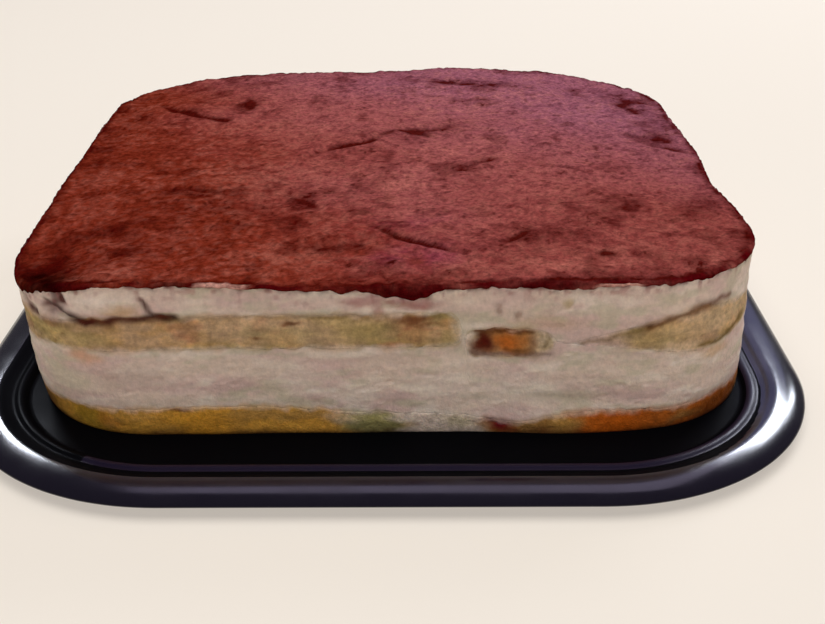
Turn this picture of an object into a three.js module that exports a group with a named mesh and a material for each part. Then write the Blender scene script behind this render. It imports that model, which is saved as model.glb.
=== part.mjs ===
// A whole tiramisu on its tray: two layers of soaked sponge, two of cream and a coat of cocoa, as a
// square cake with rounded corners on a black oblong tray.
// Millimetres, +Z up. The origin is the middle of the tray's underside, and the front faces -Y.

import * as THREE from "three";

// The tray: a flat floor, a bead round it and a domed rim that rolls down at its outer edge.
const TRAY_HALF = { x: 148, y: 166.5 };
const TRAY_CORNER = 80;
const WELL_HALF = { x: 127.6, y: 146 };
const WELL_CORNER = 57;
const FLOOR_Z = 5;
const FOOT_RECESS = 1.2;
const TRAY_SIDE_STEPS = 6;
const TRAY_ARC_STEPS = 9;

// The tray's section. A share is part of the way from the well's edge to the outer edge, so a
// negative one lies inside the well.
const TRAY_SECTION = [
  { share: -3.2, z: FOOT_RECESS },
  { share: -0.5, z: FOOT_RECESS },
  { share: -0.42, z: 0 },
  { share: 0.02, z: 0 },
  { share: 0.16, z: 0.9 },
  { share: 0.6, z: 3.4 },
  { share: 0.95, z: 3.8 },
  { share: 1, z: 4.5 },
  { share: 0.96, z: 5.7 },
  { share: 0.83, z: 7.2 },
  { share: 0.65, z: 8 },
  { share: 0.46, z: 7.8 },
  { share: 0.3, z: 6.6 },
  { share: 0.2, z: 6.3 },
  { share: 0.11, z: 6.9 },
  { share: 0.03, z: 6.5 },
  { share: -0.06, z: FLOOR_Z },
  { share: -3.2, z: FLOOR_Z },
];

// The cake stands a little askew on the tray, and off its middle.
const CAKE_TURN = THREE.MathUtils.degToRad(1.3);
const CAKE_X = -0.6;
// The cake's plan at four heights. Corner radii run front-left, front-right, back-right, back-left.
const SECTIONS = [
  { z: 5, halfX: 124.6, halfY: 125.6, radii: [47, 43, 61, 55] },
  { z: 17, halfX: 125, halfY: 125.4, radii: [42, 44, 61, 55] },
  { z: 46, halfX: 124.8, halfY: 125.2, radii: [36, 45, 62, 54] },
  { z: 57, halfX: 125, halfY: 125, radii: [34, 46, 62, 54] },
];
const FRONT_STEPS = 28;
const SIDE_STEPS = 14;
const ARC_STEPS = 6;

// Heights above the tray's underside, of the layers away from the wall and of the top's rim.
const BASE_TOP = 12.5;
const LOWER_CREAM_TOP = 36.8;
const MIDDLE_TOP = 47.8;
const RIM_TOP = 58.2;
const DOME_TOP = 59.2;
const COCOA_THICK = 1.1;
const EDGE_ROUND = 1.6;
const LAYER_GAP = 0.3;
const HALF_GAP = LAYER_GAP / 2;
// The layers' uneven edges even out over this share of the way from the wall to the middle.
const EDGE_REACH = 0.3;

// Uneven places round the wall. Each is at a distance along the wall from the front's middle, to
// the right, with its half width and how much it adds.
const WALL_SWELLS = [
  { at: 146, reach: 26, add: 1.2 },
  { at: 194, reach: 17, add: -2.2 },
  { at: 232, reach: 20, add: 0.9 },
  { at: -186, reach: 24, add: -1 },
];
// The base sponge's foot spreads here, and less so higher up to the spread's top.
const FOOT_SWELLS = [{ at: 60, reach: 32, add: 3 }];
const FOOT_SPREAD_TOP = 18;
const CORNER_SAGS = [
  { at: -130, reach: 24, add: -4 },
  { at: 343, reach: 38, add: -1.6 },
  { at: -345, reach: 42, add: -2.6 },
];
const RIM_SWELLS = [
  { at: -76, reach: 38, add: 2.4 },
  { at: 60, reach: 50, add: 0.8 },
  { at: 424, reach: 26, add: 1.5 },
];
const BASE_SWELLS = [
  { at: -82, reach: 44, add: 2.9 },
  { at: 40, reach: 15, add: -3.4 },
  { at: 98, reach: 16, add: -1 },
];
const MIDDLE_DIPS = [{ at: -106, reach: 14, add: -2 }];
const COCOA_SPILLS = [
  { at: 9, reach: 8, add: -3.4 },
  { at: -127, reach: 12, add: -1.7 },
  { at: 62, reach: 9, add: -0.8 },
  { at: 205, reach: 11, add: -2.2 },
  { at: 372, reach: 14, add: -1.8 },
  { at: -236, reach: 12, add: -2.4 },
];

// The sponge fingers of the middle layer that show at the front. A finger is low to high, and at
// its ends it closes to its nose height over a taper; a sharp of 1 is a wedge, 0.5 a round end.
const SHOWN_FINGERS = [
  { from: -172, to: 27, low: 36.9, high: 48.6, nose: 41, tapers: [16, 5], sharp: [0.5, 0.5] },
  { from: 27.5, to: 56, low: 33, high: 42.8, nose: 38, tapers: [5, 9], sharp: [0.5, 0.6] },
  { from: 60, to: 152, low: 31.2, high: 47.2, nose: 37.3, tapers: [42, 46], sharp: [1, 0.8] },
];
const FINGER_LENGTH = 104;
const FINGER_WIDTH = 29;
const FINGER_GAP = 4;
// How thick the layer still is where two fingers meet.
const PINCHED = 1.2;

// Broad marks that a spatula left under the cocoa: a place, the way the mark runs in degrees from
// +X, half its length and width, and its height.
const SPATULA_MARKS = [
  { x: -86, y: 58, turn: -44, long: 30, wide: 11, add: 1.1 },
  { x: -20, y: 8, turn: 30, long: 34, wide: 12, add: 1 },
  { x: 28, y: 36, turn: 8, long: 36, wide: 13, add: 0.8 },
  { x: -66, y: -34, turn: 2, long: 38, wide: 13, add: 0.9 },
  { x: 4, y: -80, turn: -36, long: 34, wide: 12, add: 1.2 },
  { x: 56, y: -78, turn: 34, long: 32, wide: 12, add: 0.9 },
  { x: 62, y: -6, turn: 20, long: 36, wide: 12, add: 0.8 },
  { x: 70, y: 78, turn: -12, long: 34, wide: 12, add: 0.8 },
  { x: -30, y: 88, turn: 14, long: 38, wide: 12, add: 0.7 },
];

const COLOURS = {
  tray: 0x0b0a10,
  sponge: 0xa87a3c,
  soakedSponge: 0x9a7a48,
  cream: 0xd9c7b4,
  cocoa: 0x6b3029,
};

// A repeatable stream of numbers from 0 to 1.
function seededRandom(seed) {
  let state = seed;
  return () => {
    state = (state * 1664525 + 1013904223) % 4294967296;
    return state / 4294967296;
  };
}

// A closed solid from rings of equal length: the lower rings run out from the underside's middle,
// the upper ones up and back in to the top's middle. Each ring runs anticlockwise seen from above.
// Lower and upper quads are split along the same diagonal in plan, so stacked solids fit.
function solidOfRings(lowest, lowerRings, upperRings, highest) {
  const rings = [...lowerRings, ...upperRings];
  const count = rings[0].length;
  const points = [lowest, ...rings.flat(), highest];
  const at = (ring, i) => 1 + ring * count + (i % count);
  const index = [];
  for (let i = 0; i < count; i++) {
    index.push(0, at(0, i + 1), at(0, i));
    for (let ring = 0; ring + 1 < rings.length; ring++) {
      const [a, b] = [at(ring, i), at(ring, i + 1)];
      const [c, d] = [at(ring + 1, i + 1), at(ring + 1, i)];
      if (ring < lowerRings.length) index.push(a, b, c, a, c, d);
      else index.push(a, b, d, b, c, d);
    }
    index.push(points.length - 1, at(rings.length - 1, i), at(rings.length - 1, i + 1));
  }
  const geometry = new THREE.BufferGeometry().setFromPoints(points);
  geometry.setIndex(index);
  geometry.computeVertexNormals();
  return geometry;
}

// The plan of a rounded rectangle, from the front side's left end. Steps are for the front, right,
// back and left sides.
function roundedPlan(halfX, halfY, radii, steps, arcSteps) {
  const corners = [
    { x: halfX, y: -halfY, r: radii[1], turn: -90 },
    { x: halfX, y: halfY, r: radii[2], turn: 0 },
    { x: -halfX, y: halfY, r: radii[3], turn: 90 },
    { x: -halfX, y: -halfY, r: radii[0], turn: 180 },
  ];
  const onArc = (corner, degrees) => {
    const turn = THREE.MathUtils.degToRad(degrees);
    return new THREE.Vector2(
      corner.x - Math.sign(corner.x) * corner.r + Math.cos(turn) * corner.r,
      corner.y - Math.sign(corner.y) * corner.r + Math.sin(turn) * corner.r,
    );
  };
  const plan = [];
  corners.forEach((corner, side) => {
    const start = onArc(corners[(side + 3) % 4], corner.turn);
    const end = onArc(corner, corner.turn);
    for (let i = 0; i < steps[side]; i++) plan.push(start.clone().lerp(end, i / steps[side]));
    for (let i = 0; i < arcSteps; i++) plan.push(onArc(corner, corner.turn + (90 * i) / arcSteps));
  });
  return plan;
}

const CAKE_PLANS = SECTIONS.map(({ halfX, halfY, radii }) =>
  roundedPlan(halfX, halfY, radii, [FRONT_STEPS, SIDE_STEPS, SIDE_STEPS, SIDE_STEPS], ARC_STEPS),
);

// The distance of each wall point from the front's middle, along the wall to the right, and the
// way round.
function wallDistances(plan) {
  const along = [0];
  for (let i = 1; i <= plan.length; i++) {
    along.push(along[i - 1] + plan[i % plan.length].distanceTo(plan[i - 1]));
  }
  const around = along.pop();
  const middle = along[FRONT_STEPS / 2];
  return { around, along: along.map((s) => s - middle) };
}

const { around: AROUND, along: ALONG } = wallDistances(CAKE_PLANS[1]);

// Which way is out of the cake at each wall point.
const OUTWARD = CAKE_PLANS[1].map((point, i, plan) => {
  const along = plan[(i + 1) % plan.length].clone().sub(plan.at(i - 1));
  return new THREE.Vector3(along.y, -along.x, 0).normalize();
});

// How far one distance along the wall is past another, the shortest way round.
function past(s, from) {
  return ((s - from + 1.5 * AROUND) % AROUND) - AROUND / 2;
}

function swells(s, places) {
  return places.reduce((sum, p) => sum + p.add * Math.exp(-((past(s, p.at) / p.reach) ** 2)), 0);
}

// A slow wave round the wall that closes on itself, up to 1 high.
function wave(s, seed, turns) {
  const random = seededRandom(seed);
  const waves = turns.map((n) => Math.sin(2 * Math.PI * ((n * s) / AROUND + random())));
  return waves.reduce((sum, one) => sum + one / turns.length, 0);
}

// The points round the wall at heights that a function gives, moved out by a distance.
function wallRing(heightOf, out = 0) {
  return ALONG.map((s, i) => {
    const z = heightOf(i);
    const above = SECTIONS.findIndex((section) => section.z >= z);
    const upper = above < 0 ? SECTIONS.length - 1 : Math.max(1, above);
    const [low, high] = [SECTIONS[upper - 1], SECTIONS[upper]];
    const share = THREE.MathUtils.clamp((z - low.z) / (high.z - low.z), 0, 1);
    const point = CAKE_PLANS[upper - 1][i].clone().lerp(CAKE_PLANS[upper][i], share);
    const spread = 1 - THREE.MathUtils.smoothstep(z, FLOOR_Z, FOOT_SPREAD_TOP);
    const uneven =
      swells(s, WALL_SWELLS) + spread * swells(s, FOOT_SWELLS) + 0.5 * wave(s, 11, [5, 9, 14]);
    return new THREE.Vector3(point.x, point.y, z).addScaledVector(OUTWARD[i], out + uneven);
  });
}

// The middle layer's fingers round the whole wall: those shown, then as many as fit round the
// other sides, each lying along the wall or with its end to it.
function allFingers() {
  const random = seededRandom(5);
  const fingers = [...SHOWN_FINGERS];
  const end = SHOWN_FINGERS[0].from + AROUND - FINGER_GAP;
  let from = SHOWN_FINGERS.at(-1).to + FINGER_GAP;
  while (from < end) {
    const length = random() < 0.5 ? FINGER_WIDTH : FINGER_LENGTH * (0.8 + 0.3 * random());
    const isLast = end - from - length < FINGER_WIDTH + FINGER_GAP;
    const to = isLast ? end : from + length;
    const low = LOWER_CREAM_TOP - 0.6 - 2.2 * random();
    const high = low + 9.6 + 1.8 * random();
    fingers.push({ from, to, low, high, nose: (low + high) / 2, tapers: [7, 7], sharp: [0.5, 0.5] });
    from = to + FINGER_GAP;
  }
  return fingers;
}

const FINGERS = allFingers();

// The middle layer's lower and upper edge at a distance along the wall.
function fingerBand(s) {
  let nearest = Infinity;
  let band;
  for (const { from, to, low, high, nose, tapers, sharp } of FINGERS) {
    const along = past(s, (from + to) / 2) + (to - from) / 2;
    const left = to - from - along;
    const outside = Math.max(-along, -left, 0);
    if (outside >= nearest) continue;
    nearest = outside;
    const openIn = THREE.MathUtils.clamp(along / tapers[0], 0, 1) ** sharp[0];
    const openOut = THREE.MathUtils.clamp(left / tapers[1], 0, 1) ** sharp[1];
    const open = Math.min(openIn, openOut);
    band = {
      low: THREE.MathUtils.lerp(nose - PINCHED / 2, low, open),
      high: THREE.MathUtils.lerp(nose + PINCHED / 2, high, open),
    };
  }
  return band;
}

// A height that sags with the corners, the more the higher it is.
function sagged(s, z) {
  return z + (swells(s, CORNER_SAGS) * (z - FLOOR_Z)) / (RIM_TOP - FLOOR_Z);
}

// Where two layers meet: a height further in, and one at each wall point.
const MEETS = {
  floor: { inner: FLOOR_Z + HALF_GAP, edge: ALONG.map(() => FLOOR_Z + HALF_GAP) },
  base: {
    inner: BASE_TOP,
    edge: ALONG.map((s) =>
      sagged(s, BASE_TOP + swells(s, BASE_SWELLS) + 0.6 * wave(s, 3, [4, 7, 12])),
    ),
  },
  lower: {
    inner: LOWER_CREAM_TOP,
    edge: ALONG.map((s) => sagged(s, fingerBand(s).low + 0.3 * wave(s, 7, [8, 15]))),
  },
  middle: {
    inner: MIDDLE_TOP,
    edge: ALONG.map((s) =>
      sagged(s, fingerBand(s).high + swells(s, MIDDLE_DIPS) + 0.3 * wave(s, 7, [8, 15])),
    ),
  },
};

// The rings of a meeting surface at shares of the way out from the middle, lifted by half a gap.
function meetRings(meet, shares, lift) {
  const edge = wallRing((i) => meet.edge[i]);
  return shares.map((share) =>
    edge.map((point, i) => {
      const even = THREE.MathUtils.smoothstep(1 - share, 0, EDGE_REACH);
      const z = THREE.MathUtils.lerp(meet.edge[i], meet.inner, even) + lift;
      return new THREE.Vector3(point.x * share, point.y * share, z);
    }),
  );
}

// One flat layer between two meeting surfaces, with a wall that swells by bulge at its middle.
function layerGeometry(below, above, bulge) {
  const wall = [0, 0.14, 0.5, 0.86, 1].map((share) => {
    const out = 4 * bulge * share * (1 - share);
    const heightOf = (i) =>
      THREE.MathUtils.lerp(below.edge[i] + HALF_GAP, above.edge[i] - HALF_GAP, share);
    return wallRing(heightOf, out - 0.4);
  });
  return solidOfRings(
    new THREE.Vector3(0, 0, below.inner + HALF_GAP),
    meetRings(below, [0.7, 0.86], HALF_GAP),
    [...wall, ...meetRings(above, [0.86, 0.7], -HALF_GAP)],
    new THREE.Vector3(0, 0, above.inner - HALF_GAP),
  );
}

const RIM = ALONG.map((s) => sagged(s, RIM_TOP) + swells(s, RIM_SWELLS));
// The cocoa's lower edge: it hangs unevenly over the top's rim.
const HEM = ALONG.map((s, i) => {
  const hang = 0.7 * Math.abs(wave(s, 21, [11, 19, 27])) - swells(s, COCOA_SPILLS);
  return RIM[i] - EDGE_ROUND - 0.3 - hang;
});

// The height of the top away from its rim: a low dome with the spatula's marks.
function domeHeight(x, y) {
  return SPATULA_MARKS.reduce((height, mark) => {
    const turn = THREE.MathUtils.degToRad(mark.turn);
    const [dx, dy] = [x - mark.x, y - mark.y];
    const along = (dx * Math.cos(turn) + dy * Math.sin(turn)) / mark.long;
    const across = (dy * Math.cos(turn) - dx * Math.sin(turn)) / mark.wide;
    return height + 0.5 * mark.add * Math.exp(-along * along - across * across) * (1 - across);
  }, DOME_TOP);
}

// Rings of the top at shares of the way out from the middle, lowered by a depth.
function topRings(shares, depth) {
  const edge = wallRing((i) => RIM[i]);
  return shares.map((share) =>
    edge.map((point, i) => {
      const [x, y] = [point.x * share, point.y * share];
      const even = THREE.MathUtils.smoothstep(1 - share, 0, EDGE_REACH);
      return new THREE.Vector3(x, y, THREE.MathUtils.lerp(RIM[i], domeHeight(x, y), even) - depth);
    }),
  );
}

// The upper cream: at the cocoa's lower edge its wall steps in behind the cocoa, and its top
// follows the cocoa's underside.
function upperCreamGeometry() {
  const below = MEETS.middle;
  const depth = COCOA_THICK + LAYER_GAP;
  const wall = [0, 0.2, 0.6, 1].map((share) => {
    const heightOf = (i) => THREE.MathUtils.lerp(below.edge[i] + HALF_GAP, HEM[i] - HALF_GAP, share);
    return wallRing(heightOf, 2 * share * (1 - share) - 0.4);
  });
  return solidOfRings(
    new THREE.Vector3(0, 0, below.inner + HALF_GAP),
    meetRings(below, [0.7, 0.86], HALF_GAP),
    [
      ...wall,
      wallRing((i) => HEM[i] - HALF_GAP, -depth),
      wallRing((i) => RIM[i] - depth - 0.5 * EDGE_ROUND, -depth - 0.1 * EDGE_ROUND),
      ...topRings([0.965, 0.86, 0.6, 0.3], depth),
    ],
    new THREE.Vector3(0, 0, domeHeight(0, 0) - depth),
  );
}

// The cocoa: a thin coat over the top that turns over the rim and hangs down to its hem.
function cocoaGeometry() {
  return solidOfRings(
    new THREE.Vector3(0, 0, domeHeight(0, 0) - COCOA_THICK),
    [
      ...topRings([0.3, 0.6, 0.86, 0.965], COCOA_THICK),
      wallRing((i) => RIM[i] - COCOA_THICK - 0.3 * EDGE_ROUND, -COCOA_THICK - 0.1 * EDGE_ROUND),
      wallRing((i) => HEM[i] + HALF_GAP, -COCOA_THICK),
    ],
    [
      wallRing((i) => HEM[i] + HALF_GAP, -0.3),
      wallRing((i) => HEM[i] + 0.3 * (RIM[i] - HEM[i]), 0.1),
      wallRing((i) => RIM[i] - 0.5 * EDGE_ROUND, -0.15 * EDGE_ROUND),
      wallRing((i) => RIM[i] - 0.12 * EDGE_ROUND, -0.6 * EDGE_ROUND),
      ...topRings([0.978, 0.92, 0.84, 0.74, 0.63, 0.52, 0.4, 0.27, 0.14], 0),
    ],
    new THREE.Vector3(0, 0, domeHeight(0, 0)),
  );
}

function trayGeometry() {
  const rings = TRAY_SECTION.map(({ share, z }) => {
    const radius = Math.max(10, THREE.MathUtils.lerp(WELL_CORNER, TRAY_CORNER, share));
    const plan = roundedPlan(
      THREE.MathUtils.lerp(WELL_HALF.x, TRAY_HALF.x, share),
      THREE.MathUtils.lerp(WELL_HALF.y, TRAY_HALF.y, share),
      Array(4).fill(radius),
      Array(4).fill(TRAY_SIDE_STEPS),
      TRAY_ARC_STEPS,
    );
    return plan.map((point) => new THREE.Vector3(point.x, point.y, z));
  });
  const underside = new THREE.Vector3(0, 0, FOOT_RECESS);
  return solidOfRings(underside, rings, [], new THREE.Vector3(0, 0, FLOOR_Z));
}

function piece(name, geometry, color, roughness) {
  const material = new THREE.MeshStandardMaterial({ color, roughness, metalness: 0 });
  const mesh = new THREE.Mesh(geometry, material);
  mesh.name = name;
  return mesh;
}

const cake = new THREE.Group();
cake.position.x = CAKE_X;
cake.rotation.z = CAKE_TURN;
cake.add(
  piece("base_sponge", layerGeometry(MEETS.floor, MEETS.base, 0.3), COLOURS.sponge, 0.8),
  piece("lower_cream", layerGeometry(MEETS.base, MEETS.lower, 0.9), COLOURS.cream, 0.5),
  piece("middle_sponge", layerGeometry(MEETS.lower, MEETS.middle, 0.3), COLOURS.soakedSponge, 0.8),
  piece("upper_cream", upperCreamGeometry(), COLOURS.cream, 0.5),
  piece("cocoa", cocoaGeometry(), COLOURS.cocoa, 0.95),
);

const tiramisu = new THREE.Group();
tiramisu.add(piece("tray", trayGeometry(), COLOURS.tray, 0.12), cake);

export default tiramisu;
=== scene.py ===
"""The looks of a whole tiramisu on its black tray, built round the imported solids.

Blender's unit is the metre. The part's own sizes are in millimetres until a mesh is made.
Places on the wall are a distance s along it, from the front's middle to the right, and a height z.
"""

import itertools
import math

import bpy
import numpy as np
from mathutils import Matrix, Vector


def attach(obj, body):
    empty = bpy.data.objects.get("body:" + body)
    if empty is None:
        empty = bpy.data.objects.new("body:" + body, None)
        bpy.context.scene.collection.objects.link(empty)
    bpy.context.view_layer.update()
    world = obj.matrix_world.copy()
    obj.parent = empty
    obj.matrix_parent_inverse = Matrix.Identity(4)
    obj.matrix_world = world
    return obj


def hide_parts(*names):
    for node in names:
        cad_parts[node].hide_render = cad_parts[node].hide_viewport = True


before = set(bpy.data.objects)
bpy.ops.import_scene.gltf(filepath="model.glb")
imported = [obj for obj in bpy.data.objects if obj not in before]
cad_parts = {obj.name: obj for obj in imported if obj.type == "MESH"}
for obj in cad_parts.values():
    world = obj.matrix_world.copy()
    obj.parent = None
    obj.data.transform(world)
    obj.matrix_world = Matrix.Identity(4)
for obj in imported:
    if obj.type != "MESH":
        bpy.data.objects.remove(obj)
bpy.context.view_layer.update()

MM = 0.001

# The camera: its place in mm, how it is turned in degrees, and its focal length in photo pixels.
CAMERA_PLACE = (12.7, -452.9, 216.2)
CAMERA_DOWN = 26.97
CAMERA_RIGHTWARD = -0.48
CAMERA_ROLL = -0.47
CAMERA_FOCAL = 1166.0
PHOTO_WIDTH = 825
SENSOR = 36.0

# The cake, with the names and values of its solids.
FLOOR_Z = 5
CAKE_TURN = math.radians(1.3)
CAKE_X = -0.6
SECTIONS = [
    {"z": 5, "half_x": 124.6, "half_y": 125.6, "radii": [47, 43, 61, 55]},
    {"z": 17, "half_x": 125, "half_y": 125.4, "radii": [42, 44, 61, 55]},
    {"z": 46, "half_x": 124.8, "half_y": 125.2, "radii": [36, 45, 62, 54]},
    {"z": 57, "half_x": 125, "half_y": 125, "radii": [34, 46, 62, 54]},
]
SIDE_STEPS = 60
ARC_STEPS = 30
BASE_TOP = 12.5
LOWER_CREAM_TOP = 36.8
RIM_TOP = 58.2
DOME_TOP = 59.2
EDGE_ROUND = 1.6
EDGE_REACH = 0.3
FOOT_SPREAD_TOP = 18
# Where the wall or an edge swells: s, half width and how much it adds.
WALL_SWELLS = [(146, 26, 1.2), (194, 17, -2.2), (232, 20, 0.9), (-186, 24, -1)]
FOOT_SWELLS = [(60, 32, 3)]
CORNER_SAGS = [(-130, 24, -4), (343, 38, -1.6), (-345, 42, -2.6)]
RIM_SWELLS = [(-76, 38, 2.4), (60, 50, 0.8), (424, 26, 1.5)]
BASE_SWELLS = [(-82, 44, 2.9), (40, 15, -3.4), (98, 16, -1)]
SOAKED_SWELLS = [(-34, 20, 1.1)]
MIDDLE_DIPS = [(-106, 14, -2)]
COCOA_SPILLS = [
    (14, 5, -3.1),
    (5, 5, -1.6),
    (66, 26, -0.5),
    (-36, 26, 1.1),
    (-106, 12, -0.8),
    (-127, 12, -1.7),
    (62, 9, -0.8),
    (205, 11, -2.2),
    (372, 14, -1.8),
    (-236, 12, -2.4),
]
# Sponge fingers of the middle layer: from, to, low, high, nose height, two tapers, two sharps.
SHOWN_FINGERS = [
    (-172, 27, 36.9, 48.6, 41, (16, 3), (0.5, 0.4)),
    (27.5, 56, 33, 42.8, 38, (3, 6), (0.4, 0.5)),
    (60, 152, 31.2, 47.2, 37.3, (42, 46), (1, 0.8)),
]
FINGER_LENGTH = 104
FINGER_WIDTH = 29
FINGER_GAP = 4

# The meshes: points round the wall are eight for each ring of the cocoa's net.
NET_RINGS = 148
COLUMNS = 8 * NET_RINGS
# The net's outer ring lies at this share of the way from the middle to the wall, and the ripples
# and creases fade out over the outermost share.
NET_SHARE = 0.989
NET_FADE = 0.06
# The height at which the noise of the layers' edges is read.
EDGE_NOISE_Z = 30.0
# A layer's wall: how far it overlaps its neighbours, how far inside the plan its noise is read
# and its points lie, and how far in the plain faces start that close it inside the cake.
OVERLAP = 0.12
NOISE_INSET = 0.3
WALL_INSET = 0.2
CLOSING_INSET = 6
# How far the lowest layer starts above the tray's floor.
FOOT_LIFT = 0.15
# How far below their tops the upper cream and the cocoa are closed, and the cocoa's own inset.
CREAM_SUNK = 2.5
COCOA_SUNK = 2.8
COCOA_INSET = 3

# The tray, with the values of its solid: the outer edge, and the well's edge inside it.
TRAY_HALF = (148, 166.5)
TRAY_CORNER = 80
WELL_HALF = (127.6, 146)
WELL_CORNER = 57
SMALLEST_CORNER = 10
TRAY_STEPS = 480
# The section: shares of the way from the well's edge to the outer edge, with heights.
TRAY_UNDER = [(-3.2, 1.2), (-0.5, 1.2), (-0.42, 0), (0.02, 0), (0.16, 0.9), (0.6, 3.4)]
TRAY_RIM = [(0.95, 3.8), (1, 4.5), (0.96, 5.5), (0.83, 6.8), (0.65, 7.7), (0.46, 7.9)]
TRAY_BEAD = [(0.3, 6.8), (0.2, 6.3), (0.11, 6.9), (0.03, 6.5), (-0.06, 5)]
TRAY_FLOOR = [(share, FLOOR_Z) for share in (-0.12, -0.3, -3.2)]
# Faces above this height are on the tray's upper side.
TRAY_UPPER_Z = 4.5
# The well's satin look reaches out to this share of the way to the outer edge, less on the right.
SATIN_SHARE = 0.48
SATIN_SHARE_RIGHT = 0.24
SATIN_TURN_X = (100, 135)
# The bead shines up to this share, and only from this x on.
BEAD_SHARE = 0.21
BEAD_LEFT = -96

# Gaps in the wall's cream, darkened with painted shade: their points by s and z, half width and
# depth.
CREVICES = [
    ([(-106, 49.4), (-97, 47.7), (-92, 47.1), (-85, 46.4), (-78, 47.4), (-62, 48.5)], 0.95, 0.9),
    ([(-69, 55), (-68, 53), (-67.5, 50), (-64, 48.4)], 0.9, 0.6),
    ([(-98, 57), (-97.5, 53.5), (-101, 50.5), (-108, 49.6)], 1.6, 0.8),
    ([(-127, 49.5), (-121, 47.4), (-115, 46.4)], 1.4, 0.6),
    ([(170, 50), (183, 48.6), (197, 49.4)], 0.7, 0.6),
    ([(-262, 50.4), (-250, 48.2), (-238, 48.4)], 0.7, 0.6),
]
# Coffee lines and painted shade lines on the wall: their points by s and z, half width, name of the
# colour and strength.
COFFEE_AND_SHADE_LINES = [
    ([(64, 37.2), (72, 38.4), (85.5, 42.6)], 1.2, "olive", 0.55),
    ([(85.5, 42.6), (95.5, 45.2), (103, 46.8), (117, 48)], 1.5, "brown", 0.8),
    ([(104, 32.6), (111.5, 31.8), (118, 33.8), (128, 36)], 1.4, "olive", 0.9),
    # A painted shadow line under the biscuit's end.
    ([(29, 34.6), (36, 33.9), (46, 33.5), (54, 33.4)], 0.9, "mauve", 0.6),
    ([(31, 42), (40, 41.9), (49, 41.2)], 0.7, "brown", 0.75),
    ([(-64, 48.2), (-40, 48.4), (-20, 48.2), (4, 48)], 0.8, "olive", 0.5),
    ([(-110, 44.6), (-96, 44.8), (-80, 44.6)], 1.1, "olive", 0.35),
    ([(40, 34.9), (44, 34.4), (48, 34.7)], 0.9, "brown", 0.65),
    ([(52, 36.2), (54, 38.6), (53, 41)], 0.8, "olive", 0.5),
    # Painted shade along the crevices under the upper cream, from here to the end.
    ([(-105, 51.4), (-101, 50.6), (-96, 49), (-91, 47.5)], 1.3, "dark", 0.95),
    ([(-91, 47.5), (-84, 47), (-77, 47.8), (-72, 47.6)], 0.8, "brown", 0.9),
    ([(-70, 48.2), (-66, 48.7), (-61, 48.9)], 1, "dark", 0.85),
    ([(-68.5, 54), (-68, 51.5), (-67.3, 49.5)], 0.7, "dark", 0.7),
    ([(-100, 56), (-101, 53), (-103, 51)], 0.8, "dark", 0.6),
]
# Spatula marks: x, y, turn in degrees, half length, half width, height.
SPATULA_MARKS = [
    (-86, 58, -44, 30, 11, 1.1),
    (-20, 8, 30, 34, 12, 1),
    (28, 36, 8, 36, 13, 0.8),
    (-66, -34, 2, 38, 13, 0.9),
    (4, -80, -36, 34, 12, 1.2),
    (56, -78, 34, 32, 12, 0.9),
    (62, -6, 20, 36, 12, 0.8),
    (70, 78, -12, 34, 12, 0.8),
    (-30, 88, 14, 38, 12, 0.7),
]
# Creases in the cocoa, where a spatula's stroke ended: their points, half width and depth.
CREASES = [
    ([(-103, 70), (-96, 60), (-84, 50), (-70, 41)], 2.6, 1.3),
    ([(-34, -10), (-26, 2), (-10, 10), (0, 23)], 2.2, 1.0),
    ([(4, 24), (14, 27), (27, 29)], 3.0, 0.8),
    ([(28, -24), (34, -17), (43, -11)], 1.8, 0.9),
    ([(-84, -40), (-72, -42), (-60, -46)], 2.2, 0.7),
    ([(-9, -75), (2, -88), (14, -96), (25, -102)], 1.7, 1.1),
    ([(-32, -92), (-20, -94), (-9, -96)], 2.8, 0.7),
    ([(36, -98), (45, -89), (54, -76)], 1.7, 0.7),
    ([(98, 20), (108, 15)], 2.0, 0.8),
    ([(108, 4), (114, 1), (121, -3)], 2.0, 0.9),
    ([(56, -17), (70, -22), (80, -30)], 1.6, 0.4),
    ([(16, 104), (36, 98), (58, 92)], 3.0, 0.5),
    ([(-64, 76), (-62, 68), (-63, 60)], 2.6, 0.5),
    ([(-32, -52), (-26, -60), (-24, -68)], 2.4, 0.5),
    ([(104, 66), (110, 56), (114, 44)], 2.6, 0.5),
]
# Darker, moister places in the cocoa: x, y, turn in degrees, half length, half width, strength.
MOIST_PLACES = [
    (-56, -60, -14, 30, 9, 0.3),
    (-88, -84, 60, 34, 16, 0.35),
    (112, -64, 60, 16, 8, 0.4),
    (-112, -104, -45, 14, 6, 0.8),
    (16, 24, 20, 15, 8, 0.45),
    (-63, 68, 80, 9, 5, 0.35),
    (-30, -50, -60, 10, 6, 0.3),
    (-16, -96, -4, 10, 4, 1),
    (72, -104, 0, 3.4, 2.4, 1.2),
    (36, -18, 40, 8, 5, 0.6),
    (38, 98, -12, 26, 6, 0.45),
    (-70, 104, 8, 30, 8, 0.35),
    (108, 70, -60, 22, 8, 0.4),
    (114, 12, 90, 14, 6, 0.5),
    (60, -88, 40, 26, 8, 0.35),
    (-116, 20, 90, 60, 6, 0.3),
    (-6, -38, 60, 16, 5, 0.3),
    (84, -60, 0, 22, 12, 0.25),
]
# Where the cocoa is drier and paler, in the same order.
DRY_PLACES = [
    (10, -28, 76, 36, 14, 0.5),
    (44, 62, 10, 46, 30, 0.6),
    (-76, 82, -20, 18, 8, 0.35),
    (-48, -30, 6, 36, 18, 0.9),
    (36, -66, 10, 24, 10, 0.4),
    (-30, -102, 4, 30, 11, 0.9),
    (72, -106, 6, 40, 10, 0.9),
    (34, -113, 2, 46, 5, 1.1),
    (-50, 36, 10, 34, 24, 0.3),
    (-90, -118, 3, 13, 4, 0.9),
]
# Painted shade at the top's front left corner, which is nearly black, in the same order.
CORNER_SHADE_PLACES = [(-110, -114, -45, 12, 7, 0.6)]
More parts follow.
